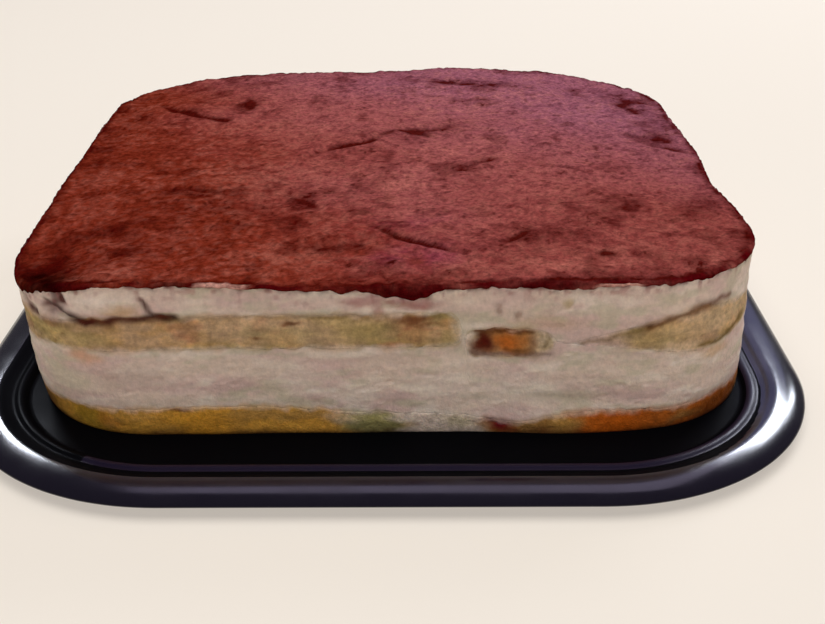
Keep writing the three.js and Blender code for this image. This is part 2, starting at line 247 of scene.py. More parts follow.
# Where the cocoa is cooler in hue, in the same order.
PLUM_PLACES = [(9, -104, 10, 17, 10, 0.6), (6, -76, 20, 18, 8, 0.3)]


def srgb(red, green, blue):
    """A colour given as 0 to 255 per channel, as linear light."""
    channels = np.array([red, green, blue]) / 255
    return np.where(channels <= 0.04045, channels / 12.92, ((channels + 0.055) / 1.055) ** 2.4)


CREAM = srgb(226, 202, 184)
CREAM_PINK = srgb(218, 187, 176)
CREAM_PALE = srgb(238, 219, 202)
CREAM_GREEN = srgb(206, 191, 166)
CREAM_DUSK = srgb(190, 160, 148)
SPONGE_TAN = srgb(198, 161, 123)
SPONGE_PALE = srgb(216, 184, 148)
SPONGE_OLIVE = srgb(180, 154, 100)
SPONGE_GOLD = srgb(204, 158, 98)
SPONGE_RED = srgb(184, 120, 86)
BISCUIT_BROWN = srgb(184, 118, 58)
COFFEE = srgb(110, 58, 26)
COFFEE_AND_SHADOW_DARK = srgb(52, 16, 8)
COFFEE_RED = srgb(88, 14, 0)
COFFEE_MAROON = srgb(112, 12, 24)
CREVICE_SHADE_BROWN = srgb(84, 34, 22)
CRUST_GOLD = srgb(218, 158, 66)
CRUST_ORANGE = srgb(196, 104, 34)
CRUST_OLIVE = srgb(186, 140, 76)
CRUST_GREEN = srgb(166, 154, 98)
CRUST_MOSS = srgb(178, 138, 42)
CRUST_AMBER = srgb(222, 152, 40)
CRUST_RUST = srgb(184, 84, 10)
CRUST_PALE = srgb(238, 214, 194)
CRUST_STAIN = srgb(214, 158, 120)
COCOA = srgb(160, 83, 82)
COCOA_WARM = srgb(131, 47, 30)
COCOA_SHEEN_LILAC = srgb(156, 92, 110)
COCOA_PLUM = srgb(148, 62, 84)
COCOA_LIGHT = srgb(186, 114, 98)
COCOA_DARK = srgb(74, 8, 5)
COCOA_HEM = srgb(86, 5, 12)
THIN_COCOA = srgb(214, 158, 142)
FLOOR_COLOUR = srgb(246, 236, 224)
LINE_COLOURS = {
    "olive": srgb(124, 96, 44),
    "mauve": srgb(112, 84, 80),
    "brown": srgb(104, 58, 20),
    "dark": srgb(44, 14, 6),
}

# Spots, stains, a painted highlight and painted shadow on the wall: their middle s and z, half
# width, half height, colour, strength.
CREAM_SPOTS = [
    (-120, 48.6, 3, 3.6, COFFEE_MAROON, 0.6),
    (-77, 50.8, 6, 2.2, SPONGE_TAN, 0.9),
    (-87, 53.5, 10, 3.4, CREAM_PALE, 0.8),
    (59.5, 51.2, 1.8, 1.8, SPONGE_OLIVE, 0.65),
    (14, 52, 8, 2.2, COCOA, 0.7),
    (-2, 53.4, 7, 2, COCOA, 0.6),
    (2, 50, 2, 2.4, COCOA, 0.55),
    (39, 50, 1.1, 2.4, COFFEE, 0.5),
    (44.5, 47, 1.4, 1.8, COFFEE, 0.55),
    (25, 46.5, 8, 3, CREAM_GREEN, 0.8),
    (54, 44.5, 12, 2.4, SPONGE_TAN, 0.4),
    # A thin painted highlight on the upper cream's top edge, under the cocoa.
    (77, 56.4, 11, 0.8, CREAM_PALE, 0.8),
    (-96, 34, 7, 2.6, CRUST_STAIN, 0.75),
    (29.8, 34.2, 1.5, 1.3, COFFEE_AND_SHADOW_DARK, 0.95),
    (111.5, 29, 6, 2.6, SPONGE_GOLD, 0.55),
    (-106, 24, 9, 6, CREAM_GREEN, 0.7),
    (-82, 26, 13, 5, CREAM_DUSK, 0.6),
    (-27, 25, 8, 6, CREAM_PALE, 0.6),
    (-10, 19.5, 9, 4, CREAM_PALE, 0.8),
    (24, 23, 10, 7, CREAM_PALE, 0.6),
    (38, 23, 7, 6, CREAM_PALE, 0.5),
    (50, 19.5, 7, 4, CREAM_PALE, 0.9),
    (60, 18, 12, 2.2, CREAM_GREEN, 0.6),
]
FINGER_SPOTS = [
    (11.5, 43, 7, 5, SPONGE_RED, 0.55),
    (12.5, 46.6, 5.5, 1.7, COFFEE, 0.9),
    (16, 44.6, 5, 0.8, COFFEE, 0.6),
    (4.5, 37.6, 5, 1.3, SPONGE_RED, 0.7),
    (-32, 42.5, 22, 7, SPONGE_PALE, 0.3),
    (-4, 42.5, 9, 4, SPONGE_OLIVE, 0.8),
    (22.5, 40, 4, 4, SPONGE_OLIVE, 0.7),
    (-25.5, 45.6, 3, 0.9, COFFEE, 0.85),
    (-37, 40.4, 2.6, 0.8, COFFEE, 0.75),
    (-60, 41, 3, 1.6, SPONGE_RED, 0.4),
    (-92, 41, 9, 3, SPONGE_OLIVE, 0.7),
    (52, 38, 6, 7, CREAM_GREEN, 0.6),
    (43, 38.6, 7.5, 7, BISCUIT_BROWN, 0.9),
    (40.5, 38, 4.5, 3.4, CRUST_ORANGE, 0.9),
    (49.5, 37, 1.6, 3, COFFEE, 0.5),
    (92, 39.6, 9, 3.6, SPONGE_OLIVE, 0.6),
    (112, 41, 22, 7, SPONGE_PALE, 0.6),
    (98, 33.6, 9, 2.8, SPONGE_PALE, 0.9),
]
CRISP_SPOTS = [(33.2, 38.6, 3.8, 4.6, COFFEE_RED, 1), (39, 42.2, 9, 0.9, COFFEE, 0.85)]
BASE_SPOTS = [
    (-102, 10, 8, 5, CRUST_MOSS, 0.85),
    (-95, 9.6, 4, 3, CRUST_ORANGE, 0.4),
    (-126, 8, 10, 6, COFFEE, 0.5),
    (-68.5, 14.6, 4, 1.1, COFFEE, 0.85),
    (-63, 9.5, 12, 4.5, CRUST_AMBER, 0.7),
    (-17, 11, 6, 2.2, CRUST_PALE, 0.35),
    (22, 9.4, 5, 3, CRUST_GREEN, 0.5),
    # Painted contact shadow along the foot.
    (-6, 5.2, 12, 1.5, COFFEE_AND_SHADOW_DARK, 0.65),
    (36, 8.2, 6.5, 3.4, COFFEE_MAROON, 1),
    (76, 9, 11, 5, CRUST_RUST, 0.7),
    (49, 9, 5, 4, COFFEE, 0.4),
    (92, 8, 12, 4, COFFEE, 0.3),
    (116, 7.5, 16, 4, COFFEE_AND_SHADOW_DARK, 0.6),
]
# The lowest layer round the wall: from where to where each stretch of colour runs.
BASE_STRETCHES = [
    (-15, 8, CRUST_GREEN),
    (2, 32, CRUST_PALE),
    (40, 56, CRUST_OLIVE),
    (58, 176, CRUST_ORANGE),
    (300, 390, CRUST_ORANGE),
]
# The lowest layer is clear of coffee round this s, and no longer is between these distances.
PALE_MIDDLE = 8
PALE_REACH = (20, 34)
# Clouds of noise in a food: their colour, size, seed, gain, shift and most.
CREAM_CLOUDS = [
    (CREAM_PINK, (20, 20, 6), 101, 0.9, 0.5, 1),
    (CREAM_PALE, (12, 12, 3.5), 104, 1.2, -0.12, 0.8),
    (CREAM_GREEN, (10, 10, 4), 107, 1.3, -0.2, 0.8),
]
FINGER_CLOUDS = [
    (SPONGE_OLIVE, (18, 18, 7), 111, 0.9, 0.5, 1),
    (SPONGE_GOLD, (11, 11, 5), 115, 1, 0, 0.7),
    (SPONGE_RED, (9, 9, 5), 113, 1.1, -0.5, 0.4),
]
# Where the cocoa's rim is so thin that the cream shows: s, half width, strength and how many of
# the rim's rings it reaches, from the lowest up.
HEM_GAPS = [(-44.5, 9, 0.9, 8), (77, 8, 0.9, 5), (-270, 8, 0.4, 8)]
# Where painted shade darkens the rim most: s, half width and strength.
HEM_SHADES = [(-104, 12, 0.8), (-59, 5, 0.9), (4, 14, 0.4), (54, 9, 0.4), (-212, 16, 0.5)]
# A finger's colour fades in while it opens from the first of these shares to the second.
FINGER_FADE = (0.15, 0.55)


# Cake shape


def seeded_random(seed):
    """A repeatable stream of numbers from 0 to 1."""
    state = seed
    while True:
        state = (state * 1664525 + 1013904223) % 4294967296
        yield state / 4294967296


def rounded_plan(half_x, half_y, radii):
    """The plan of a rounded rectangle, anticlockwise from the front side's left end."""
    corners = [
        (half_x, -half_y, radii[1], -90),
        (half_x, half_y, radii[2], 0),
        (-half_x, half_y, radii[3], 90),
        (-half_x, -half_y, radii[0], 180),
    ]

    def on_arc(corner, degrees):
        x, y, r, _ = corner
        turn = math.radians(degrees)
        middle_x, middle_y = x - math.copysign(r, x), y - math.copysign(r, y)
        return np.array([middle_x + r * math.cos(turn), middle_y + r * math.sin(turn)])

    plan = []
    for side, corner in enumerate(corners):
        start = on_arc(corners[side - 1], corner[3])
        end = on_arc(corner, corner[3])
        plan += [start + (end - start) * i / SIDE_STEPS for i in range(SIDE_STEPS)]
        plan += [on_arc(corner, corner[3] + 90 * i / ARC_STEPS) for i in range(ARC_STEPS)]
    return np.array(plan)


def closed(points):
    return np.vstack([points, points[:1]])


PLANS = [closed(rounded_plan(c["half_x"], c["half_y"], c["radii"])) for c in SECTIONS]
LEVELS = np.array([section["z"] for section in SECTIONS], float)
# Distances along the wall: at the plan's points, all the way round, and at the mesh's columns.
plan_steps = np.linalg.norm(np.diff(PLANS[1], axis=0), axis=1)
PLAN_S = np.concatenate([[0], np.cumsum(plan_steps)])
AROUND = PLAN_S[-1]
PLAN_S -= PLAN_S[SIDE_STEPS // 2]
S = AROUND * np.arange(COLUMNS) / COLUMNS


def at_distance(values, s):
    """Values given at the plan's points, at distances along the wall."""
    wrapped = (s - PLAN_S[0]) % AROUND + PLAN_S[0]
    return np.stack([np.interp(wrapped, PLAN_S, column) for column in values.T], axis=-1)


def outlines_at(s):
    """The plan of each section at distances along the wall, and the way out."""
    plans = np.array([at_distance(plan, s) for plan in PLANS])
    ahead = at_distance(PLANS[1], s + 0.5) - at_distance(PLANS[1], s - 0.5)
    out = np.stack([ahead[..., 1], -ahead[..., 0]], axis=-1)
    return plans, out / np.linalg.norm(out, axis=-1, keepdims=True)


OUTLINES, OUTWARD = outlines_at(S)


def past(s, at):
    """How far a distance along the wall is past another, the shortest way round."""
    return (s - at + 1.5 * AROUND) % AROUND - AROUND / 2


def swells(s, places):
    return sum(add * np.exp(-((past(s, at) / reach) ** 2)) for at, reach, add in places)


def wave(s, seed, turns):
    """A slow wave round the wall that closes on itself, up to 1 high."""
    stream = seeded_random(seed)
    waves = [np.sin(2 * np.pi * (n * s / AROUND + next(stream))) for n in turns]
    return sum(waves) / len(turns)


def smoothstep(x, low=0.0, high=1.0):
    t = np.clip((x - low) / (high - low), 0, 1)
    return t * t * (3 - 2 * t)


def mix(a, b, share):
    return a + (b - a) * share


def all_fingers():
    """The middle layer's fingers round the whole wall, as in the solids."""
    stream = seeded_random(5)
    fingers = list(SHOWN_FINGERS)
    end = SHOWN_FINGERS[0][0] + AROUND - FINGER_GAP
    start = SHOWN_FINGERS[-1][1] + FINGER_GAP
    while start < end:
        lies_across = next(stream) < 0.5
        length = FINGER_WIDTH if lies_across else FINGER_LENGTH * (0.8 + 0.3 * next(stream))
        is_last = end - start - length < FINGER_WIDTH + FINGER_GAP
        stop = end if is_last else start + length
        low = LOWER_CREAM_TOP - 0.6 - 2.2 * next(stream)
        high = low + 9.6 + 1.8 * next(stream)
        fingers.append((start, stop, low, high, (low + high) / 2, (5, 5), (0.5, 0.5)))
        start = stop + FINGER_GAP
    return fingers


FINGERS = all_fingers()


def finger_band(s):
    """The middle layer's two edges, how far open it is, and how far a place is from its end."""
    nearest = np.full(s.shape, np.inf)
    band = np.zeros((4, *s.shape))
    for start, stop, bottom, top, nose, tapers, sharps in FINGERS:
        along = past(s, (start + stop) / 2) + (stop - start) / 2
        left = stop - start - along
        outside = np.maximum(np.maximum(-along, -left), 0)
        open_in = np.clip(along / tapers[0], 0, 1) ** sharps[0]
        open_out = np.clip(left / tapers[1], 0, 1) ** sharps[1]
        wide = np.minimum(open_in, open_out)
        near = outside < nearest
        nearest = np.where(near, outside, nearest)
        here = [mix(nose, bottom, wide), mix(nose, top, wide), wide, np.minimum(along, left)]
        band = np.where(near, here, band)
    return band


def sagged(s, z):
    return z + swells(s, CORNER_SAGS) * (z - FLOOR_Z) / (RIM_TOP - FLOOR_Z)


# Noise


def noise(points, size, seed=0):
    """Smooth noise from -1 to 1 at points in mm, with bumps about size mm wide."""
    scaled = points / np.asarray(size, float)
    cell = np.floor(scaled).astype(np.int64)
    part = scaled - cell
    fade = part * part * part * (part * (part * 6 - 15) + 10)
    total = np.zeros(len(points))
    for corner in itertools.product((0, 1), repeat=3):
        lattice = (cell + np.array(corner) + 100000).astype(np.uint64)
        key = np.uint64(seed * 2654435761)
        for axis, factor in enumerate((73856093, 19349663, 83492791)):
            key = key ^ (lattice[:, axis] * np.uint64(factor))
        for shift, factor in ((15, 2246822519), (13, 3266489917)):
            key = (key ^ (key >> np.uint64(shift))) * np.uint64(factor)
        value = ((key >> np.uint64(16)) & np.uint64(0xFFFFFF)).astype(float) / 0x7FFFFF - 1
        weight = np.prod(np.where(np.array(corner) == 1, fade, 1 - fade), axis=1)
        total += value * weight
    return total


def layered_noise(points, size, octaves, seed=0):
    """Noise with finer and weaker noise on top."""
    total = 0
    for octave in range(octaves):
        total = total + noise(points, np.asarray(size) / 2**octave, seed + octave) / 2**octave
    return total


def segment_distance(x, y, a, b):
    """The distance to a straight piece, on which side of it a point lies, and how far along."""
    along = np.array(b, float) - a
    length = np.hypot(*along)
    along /= length
    dx, dy = x - a[0], y - a[1]
    t = np.clip(dx * along[0] + dy * along[1], 0, length)
    side = dy * along[0] - dx * along[1]
    return np.hypot(dx - t * along[0], dy - t * along[1]), side, t / length


def near_line(s, z, line, thick):
    """How near points are to an uneven line on the wall, from 0 to 1."""
    along = np.column_stack([s, np.zeros(len(s)), z])
    from_start = past(s, line[0][0]) + 0.6 * layered_noise(along, 4.0, 2, seed=81)
    height = z + 0.6 * layered_noise(along, 4.0, 2, seed=82)
    shifted = [(place - line[0][0], level) for place, level in line]
    distances = [
        segment_distance(from_start, height, a, b)[0] for a, b in zip(shifted, shifted[1:])
    ]
    thick = thick * (1 + 0.6 * noise(along, 6.0, seed=83))
    return np.exp(-((np.min(distances, axis=0) / thick) ** 2))


def crevice_depth(s, z):
    return sum(deep * near_line(s, z, line, thick) for line, thick, deep in CREVICES)


# Wall rings


def unevenness(s, z):
    spread = 1 - smoothstep(z, FLOOR_Z, FOOT_SPREAD_TOP)
    return swells(s, WALL_SWELLS) + spread * swells(s, FOOT_SWELLS) + 0.5 * wave(s, 11, (5, 9, 14))


def wall_ring(z, out=0.0):
    """The points round the wall at heights z, moved out by a distance."""
    z = np.broadcast_to(z, S.shape)
    upper = np.clip(np.searchsorted(LEVELS, z), 1, len(LEVELS) - 1)
    share = np.clip((z - LEVELS[upper - 1]) / (LEVELS[upper] - LEVELS[upper - 1]), 0, 1)
    columns = np.arange(COLUMNS)
    low, high = OUTLINES[upper - 1, columns], OUTLINES[upper, columns]
    plan = mix(low, high, share[:, None]) + OUTWARD * (out + unevenness(S, z))[:, None]
    return np.column_stack([plan, z])


# The layers' edges round the wall, with the waves of the solids and a finer raggedness.
flat_ring = wall_ring(EDGE_NOISE_Z)
jag = layered_noise(flat_ring, 5.0, 3, seed=40)
fine_jag = layered_noise(flat_ring, 2.2, 2, seed=41)
slow_wave = 0.3 * wave(S, 7, (8, 15))
drips = np.clip(layered_noise(flat_ring, 4.0, 2, seed=47) - 0.3, 0, 1)
FINGER_LOW, FINGER_HIGH, FINGER_OPEN, _ = finger_band(S)
BASE_EDGE = sagged(S, BASE_TOP + swells(S, BASE_SWELLS) + 0.6 * wave(S, 3, (4, 7, 12)))
BASE_EDGE = BASE_EDGE + swells(S, SOAKED_SWELLS) + 0.55 * jag
LOWER_EDGE = sagged(S, FINGER_LOW + slow_wave) + 0.55 * jag * FINGER_OPEN
MIDDLE_EDGE = sagged(S, FINGER_HIGH + swells(S, MIDDLE_DIPS) + slow_wave)
MIDDLE_EDGE = MIDDLE_EDGE + 0.6 * layered_noise(flat_ring, 6.0, 3, seed=43) * FINGER_OPEN
RIM = sagged(S, RIM_TOP) + swells(S, RIM_SWELLS)
HEM = RIM - EDGE_ROUND + 0.2 - 0.5 * np.abs(wave(S, 21, (11, 19, 27))) + swells(S, COCOA_SPILLS)
HEM = HEM + 0.3 * jag + 0.5 * fine_jag - 1.1 * drips
RIM = RIM + 0.4 * layered_noise(flat_ring, 7.0, 3, seed=48) + 0.3 * fine_jag
HEM = np.minimum(HEM, RIM - 0.7 * EDGE_ROUND)


# Meshes


def new_object(name, points, faces):
    """An object at the origin, with its points given in mm."""
    mesh = bpy.data.meshes.new(name)
    mesh.from_pydata((points * MM).tolist(), [], faces)
    mesh.shade_smooth()
    obj = bpy.data.objects.new(name, mesh)
    bpy.context.scene.collection.objects.link(obj)
    return obj


class Skin:
    """Collects the points and faces of one piece."""

    def __init__(self):
        self.points = []
        self.faces = []
        self.count = 0

    def add(self, points):
        first = self.count
        self.points.append(points)
        self.count += len(points)
        return np.arange(first, self.count)

    def bridge(self, lower, upper):
        """Quads between two closed rings of one length, facing out where they rise."""
        right = np.roll(lower, -1)
        above = np.roll(upper, -1)
        self.faces += np.column_stack([lower, right, above, upper]).tolist()

    def fan(self, ring, centre, faces_up):
        middle = self.add(np.array([centre], float))[0]
        after = np.roll(ring, -1)
        a, b = (ring, after) if faces_up else (after, ring)
        self.faces += np.column_stack([a, b, np.full(len(ring), middle)]).tolist()

    def cake_piece(self, name):
        """The piece as an object, turned and placed with the cake, and its points unturned."""
        points = np.vstack(self.points)
        cos, sin = math.cos(CAKE_TURN), math.sin(CAKE_TURN)
        turn = np.array([[cos, sin, 0], [-sin, cos, 0], [0, 0, 1]])
        return new_object(name, points @ turn + (CAKE_X, 0, 0), self.faces), points


def paint(obj, colours):
    """Keeps a colour for each point as the attribute tint."""
    rgba = np.column_stack([colours, np.ones(len(colours))]).astype(np.float32)
    layer = obj.data.attributes.new("tint", "FLOAT_COLOR", "POINT")
    layer.data.foreach_set("color", rgba.ravel())


def tinted(colours, colour, mask):
    return mix(colours, np.asarray(colour)[None, :], np.clip(mask, 0, 1)[:, None])


def spot(s, z, at, height, reach, tall, soft=1.0):
    """How strongly a spot on the wall covers each point: 1 in its middle, 0 away from it."""
    distance = (past(s, at) / reach) ** 2 + ((z - height) / tall) ** 2
    return np.exp(-(distance**soft))


def relief_of(kind, points, share, open_share):
    """How far the wall of a layer stands out at points, for its height share from 0 to 1."""
    inside = (4 * share * (1 - share)) ** 0.4
    common = 0.3 * layered_noise(points, (26, 26, 5), 2, seed=3) - crevice_depth(S, points[:, 2])
    if kind == "cream":
        lumps = layered_noise(points, (5, 5, 3.2), 3, seed=7)
        pits = np.clip(noise(points, (3.4, 3.4, 2.4), seed=9) - 0.66, 0, 1)
        heap = 0.6 * spot(S, points[:, 2], -85, 52, 13, 3, soft=1.5)
        return common + inside * (0.2 * lumps - 1.8 * pits) + inside**2 * heap
    crumb = layered_noise(points, 3.0, 3, seed=15)
    pores = np.clip(noise(points, 1.7, seed=19) - 0.4, 0, 1)
    return common + inside * (0.1 * open_share + 0.16 * crumb - 0.6 * pores)


def layer_piece(name, kind, low, high, rows, colours_at, open_share=1.0, sunk=0):
    """One painted layer of the cake: a detailed wall, closed by plain faces inside the cake."""
    skin = Skin()
    rings = []
    for share in np.linspace(0, 1, rows):
        z = mix(low - OVERLAP, high + OVERLAP, share)
        relief = relief_of(kind, wall_ring(z, -NOISE_INSET), share, open_share)
        rings.append(skin.add(wall_ring(z, relief - WALL_INSET)))
    for lower, upper in zip(rings, rings[1:]):
        skin.bridge(lower, upper)
    inner_low = skin.add(wall_ring(low - OVERLAP, -CLOSING_INSET))
    inner_high = skin.add(wall_ring(high + OVERLAP - sunk, -CLOSING_INSET))
    skin.bridge(inner_low, rings[0])
    skin.bridge(rings[-1], inner_high)
    skin.fan(inner_low, (0, 0, float(np.mean(low))), faces_up=False)
    skin.fan(inner_high, (0, 0, float(np.mean(high)) - sunk), faces_up=True)
    obj, points = skin.cake_piece(name)
    # The two rings inside the cake take the same s as the wall, and the fans' middles take 0.
    paint(obj, colours_at(points, np.append(np.tile(S, rows + 2), [0, 0])))
    return obj


# Cocoa


def across_and_along(x, y, place_x, place_y, degrees, long, wide):
    """Where points lie in a place's own turned axes, in half lengths and half widths."""
    turn = math.radians(degrees)
    dx, dy = x - place_x, y - place_y
    along = (dx * math.cos(turn) + dy * math.sin(turn)) / long
    across = (dy * math.cos(turn) - dx * math.sin(turn)) / wide
    return across, along


def dome_height(x, y):
    height = np.full(x.shape, float(DOME_TOP))
    for *place, add in SPATULA_MARKS:
        across, along = across_and_along(x, y, *place)
        height += 0.5 * add * np.exp(-along * along - across * across) * (1 - across)
    return height


def crease_depth(x, y):
    """How deep the creases are at points of the top, with a low lip on their far side."""
    depth = np.zeros(x.shape)
    for points, width, deep in CREASES:
        nearest = np.full(x.shape, np.inf)
        dent = np.zeros(x.shape)
        pieces = len(points) - 1
        for i, (a, b) in enumerate(zip(points, points[1:])):
            distance, side, t = segment_distance(x, y, a, b)
            run = (i + t) / pieces
            swell = np.sin(np.pi * np.clip(0.12 + 0.76 * run, 0, 1))
            cut = swell * np.exp(-((distance / width) ** 2))
            lip = 0.55 * swell * np.exp(-(((distance - 2.4 * width) / (1.5 * width)) ** 2))
            value = deep * (cut - np.where(side > 0, lip, 0.4 * lip))
            near = distance < nearest
            nearest = np.where(near, distance, nearest)
            dent = np.where(near, value, dent)
        depth += dent
    return depth


def net_places():
    """The cocoa's net: a square grid bent to the cake's plan, so its outer ring is the wall's."""
    steps = np.arange(-NET_RINGS, NET_RINGS + 1)
    a, b = (grid.ravel() for grid in np.meshgrid(steps, steps))
    ring = np.maximum(np.abs(a), np.abs(b))
    turn = np.select(
        [
            (b == -ring) & (a >= 0),
            (a == ring) & (b > -ring),
            (b == ring) & (a < ring),
            (a == -ring) & (b < ring),
        ],
        [a, 2 * ring + b, 4 * ring - a, 6 * ring - b],
        8 * ring + a,
    )
    return ring, np.where(ring > 0, turn / np.maximum(ring, 1), 0) * NET_RINGS


def cocoa_rim(skin):
    """Adds the cocoa's rim, and gives its rings, from its ragged lower edge up."""
    profile = [
        (HEM, -1.6),
        (HEM, 0.15),
        (mix(HEM, RIM, 0.18), 0.4),
        (mix(HEM, RIM, 0.36), 0.42),
        (mix(HEM, RIM, 0.54), 0.35),
        (RIM - 0.5 * EDGE_ROUND, 0.12),
        (RIM - 0.28 * EDGE_ROUND, -0.25),
        (RIM - 0.12 * EDGE_ROUND, -0.75),
    ]
    rings = []
    for z, out in profile:
        grain = 0.18 * layered_noise(wall_ring(z, out), 2.0, 2, seed=61)
        rings.append(skin.add(wall_ring(z, out + grain)))
    for lower, upper in zip(rings, rings[1:]):
        skin.bridge(lower, upper)
    return rings


def cocoa_net(skin):
    """Adds the cocoa's top, and gives its outer ring, its creases' depths and its points' rings."""
    ring, turn = net_places()
    share = NET_SHARE * ring / NET_RINGS
    edge = closed(wall_ring(RIM))
    columns = np.arange(COLUMNS + 1)
    edge_x, edge_y, edge_z = (np.interp(turn, columns, values) for values in edge.T)
    x, y = edge_x * share, edge_y * share
    z = mix(edge_z, dome_height(x, y), smoothstep((1 - share) / EDGE_REACH))
    inward = smoothstep(1 - share, 0.0, NET_FADE)
    flat = np.column_stack([x, y, np.zeros(len(x))])
    ripples = layered_noise(flat, (18, 12, 12), 3, seed=71)
    lumps = layered_noise(flat, 3.4, 3, seed=75)
    clumps = np.clip(noise(flat, 2.6, seed=79) - 0.5, 0, 1)
    creases = crease_depth(x, y)
    z = z + inward * (0.45 * ripples - creases) + 0.22 * lumps + 0.9 * clumps
    side = 2 * NET_RINGS + 1
    net = skin.add(np.column_stack([x, y, z])).reshape(side, side)
    quads = np.stack([net[:-1, :-1], net[:-1, 1:], net[1:, 1:], net[1:, :-1]], axis=-1)
    skin.faces += quads.reshape(-1, 4).tolist()
    outer = np.concatenate([net[0, :-1], net[:-1, -1], net[-1, :0:-1], net[:0:-1, 0]])
    return np.roll(outer, -NET_RINGS), creases, ring


def cocoa_piece():
    """The painted coat of cocoa."""
    skin = Skin()
    rings = cocoa_rim(skin)
    outer, creases, net_ring = cocoa_net(skin)
    skin.bridge(rings[-1], outer)
    underside = skin.add(wall_ring(RIM - COCOA_SUNK, -COCOA_INSET))
    skin.bridge(underside, rings[0])
    skin.fan(underside, (0, 0, DOME_TOP - COCOA_INSET), faces_up=False)
    obj, points = skin.cake_piece("cocoa_top")
    paint(obj, cocoa_colours(points, creases, net_ring, len(rings)))
    return obj


# Colours of the food


def height_over(edge, points, s):
    """How far points of the wall are above one of the layers' edges."""
    return points[:, 2] - np.interp(s % AROUND, np.append(S, AROUND), np.append(edge, edge[0]))


def clouded(colour, points, clouds):
    """A colour for each point, with others laid on it in clouds of noise."""
    colours = np.tile(colour, (len(points), 1))
    for tint, size, seed, gain, shift, most in clouds:
        cloud = layered_noise(points, size, 3, seed)
        colours = tinted(colours, tint, np.clip(gain * cloud + shift, 0, most))
    return colours


def spotted(colours, points, s, spots):
    """Lays spots on the colours, their outlines broken up by noise."""
    shift = 1.3 * layered_noise(points, 4.0, 3, seed=91)
    lift = 0.7 * layered_noise(points, 3.0, 3, seed=93)
    z = points[:, 2]
    for at, height, reach, tall, colour, strength in spots:
        mask = spot(s + shift, z + lift, at, height, reach, tall, soft=1.6)
        colours = tinted(colours, colour, strength * mask)
    return colours


def cream_at(points, s):
    """The cream's colours at points of the wall."""
    return spotted(clouded(CREAM, points, CREAM_CLOUDS), points, s, CREAM_SPOTS)


def fingers_at(points, s):
    """The sponge fingers' colours at points of the wall."""
    colours = clouded(SPONGE_TAN, points, FINGER_CLOUDS)
    flecks = noise(points, 1.8, seed=117)
    colours = tinted(colours, COFFEE, np.clip(1.6 * (flecks - 0.6), 0, 0.5))
    crumb = layered_noise(points, (8, 8, 3), 4, seed=119)
    return spotted(colours * (1 + 0.32 * crumb)[:, None], points, s, FINGER_SPOTS)


def base_at(points, s):
    """The lowest sponge's colours at points of the wall."""
    tone = layered_noise(points, (14, 14, 4), 3, seed=121)
    colours = np.tile(CRUST_GOLD, (len(points), 1))
    for start, stop, colour in BASE_STRETCHES:
        within = (stop - start) / 2 - np.abs(past(s, (start + stop) / 2)) + 4 * tone
        colours = tinted(colours, colour, smoothstep(within, -5, 5))
    away_from_pale = smoothstep(np.abs(past(s, PALE_MIDDLE)), *PALE_REACH)
    colours = tinted(colours, CRUST_OLIVE, np.clip(0.2 - 0.9 * tone, 0, 0.7) * away_from_pale)
    flecks = np.clip(noise(points, 1.8, seed=127) - 0.4, 0, 1)
    colours = tinted(colours, COFFEE, 0.5 * flecks * away_from_pale)
    # The foot darkens towards the tray: partly coffee soaked in, partly painted contact shadow.
    foot = 1 - smoothstep(points[:, 2] + 0.9 * tone, FLOOR_Z, FLOOR_Z + 3.4)
    colours = tinted(colours, COFFEE_AND_SHADOW_DARK, foot * (0.3 + 0.45 * away_from_pale))
    return spotted(colours, points, s, BASE_SPOTS)


def blended(colours, points, distance, neighbour, strength=1.0):
    """Takes a layer's colours halfway to its neighbour's at a distance from their edge."""
    reach = 1.5 + 1.1 * layered_noise(points, 3.4, 2, seed=95)
    share = 0.5 * strength * (1 - smoothstep(distance / np.maximum(reach, 0.3)))
    return mix(colours, neighbour, np.reshape(share, (-1, 1)))


def with_fingers(colours, points, s, distance):
    """Blends the fingers' colours in near their edge, where a finger is open."""
    open_share = smoothstep(finger_band(s)[2], *FINGER_FADE)
    return blended(colours, points, distance, fingers_at(points, s), open_share)


def marked(colours, points, s):
    """Paints light on the low part, then the coffee lines and the painted shade of lines and
    crevices.
    """
    z = points[:, 2]
    # Painted light: the wall is paler towards the bottom, where the dark tray leaves it in shade.
    colours = colours * (1 + 0.17 * (1 - smoothstep(z, 16, 42)))[:, None]
    for line, thick, name, strength in COFFEE_AND_SHADE_LINES:
        colours = tinted(colours, LINE_COLOURS[name], strength * near_line(s, z, line, thick))
    # Painted shade in the crevices, broken up by noise.
    along = np.column_stack([s, np.zeros(len(s)), z])
    broken = 0.75 + 0.6 * layered_noise(along, (7, 7, 3), 2, seed=97)
    for line, thick, _ in CREVICES:
        colours = tinted(colours, CREVICE_SHADE_BROWN, broken * near_line(s, z, line, thick))
    return colours


def base_colours(points, s):
    colours = base_at(points, s)
    colours = blended(colours, points, -height_over(BASE_EDGE, points, s), cream_at(points, s))
    return marked(colours, points, s)


def lower_cream_colours(points, s):
    colours = cream_at(points, s)
    colours = blended(colours, points, height_over(BASE_EDGE, points, s), base_at(points, s))
    colours = with_fingers(colours, points, s, -height_over(LOWER_EDGE, points, s))
    return marked(colours, points, s)


def middle_colours(points, s):
    """The sponge fingers' colours, fading into the cream's at their edges and ends."""
    _, _, open_share, from_end = finger_band(s)
    cream = cream_at(points, s)
    colours = fingers_at(points, s)
    colours = blended(colours, points, height_over(LOWER_EDGE, points, s), cream)
    colours = blended(colours, points, -height_over(MIDDLE_EDGE, points, s), cream)
    end_noise = 2.2 * layered_noise(points, 4.0, 3, seed=161)
    closed_share = 1 - smoothstep(open_share, *FINGER_FADE)
    closed_share = np.maximum(closed_share, 1 - smoothstep(from_end + end_noise, -1.5, 4.5))
    colours = mix(colours, cream, closed_share[:, None])
    return marked(spotted(colours, points, s, CRISP_SPOTS), points, s)


